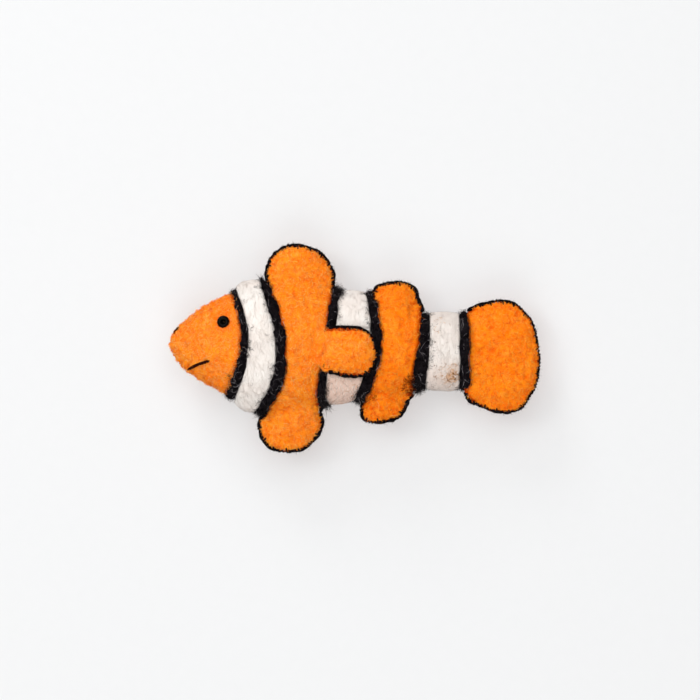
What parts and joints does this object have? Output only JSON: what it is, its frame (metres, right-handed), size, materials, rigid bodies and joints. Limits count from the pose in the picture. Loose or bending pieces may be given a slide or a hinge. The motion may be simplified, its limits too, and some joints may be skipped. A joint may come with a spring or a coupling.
{
  "type": "felt clownfish toy",
  "caption": "Stuffed felt clownfish toy lying on its side, with an orange body, white wool bands edged in black, rounded fins and a fan tail.",
  "frame": {"origin": "centre of the overall length and height of the fish, on the surface the toy lies on", "axes": "snout at -X, tail at +X, back at +Y, belly at -Y, and the toy's upper, left side at +Z"},
  "size_m": [0.1102, 0.0619, 0.0256],
  "materials": {
    "orange_felt": "soft wool felt",
    "white_wool": "felted wool",
    "black_wool": "fuzzy wool yarn",
    "black_bead": "glossy seed bead",
    "dark_thread": "cotton thread"
  },
  "bodies": {
    "root": {"head": "orange_felt", "eye_left": "black_bead", "eye_right": "black_bead", "mouth_left": "dark_thread", "mouth_right": "dark_thread", "snout_stitch": "dark_thread", "head_band_front_rope": "black_wool", "head_band": "white_wool", "head_band_rear_rope": "black_wool", "trunk": "orange_felt", "dorsal_fin_front": "orange_felt", "dorsal_fin_front_edging": "black_wool", "pelvic_fin": "orange_felt", "pelvic_fin_edging": "black_wool", "pectoral_fin_left": "orange_felt", "pectoral_fin_left_edging": "black_wool", "pectoral_fin_right": "orange_felt", "pectoral_fin_right_edging": "black_wool", "mid_band_front_rope": "black_wool", "mid_band": "white_wool", "mid_band_rear_rope": "black_wool", "rear_body": "orange_felt", "dorsal_fin_rear": "orange_felt", "dorsal_fin_rear_edging": "black_wool", "anal_fin": "orange_felt", "anal_fin_edging": "black_wool", "tail_band_front_rope": "black_wool", "tail_band": "white_wool", "tail_band_rear_rope": "black_wool", "tail_fin": "orange_felt", "tail_fin_edging": "black_wool"}
  },
  "joints": []
}
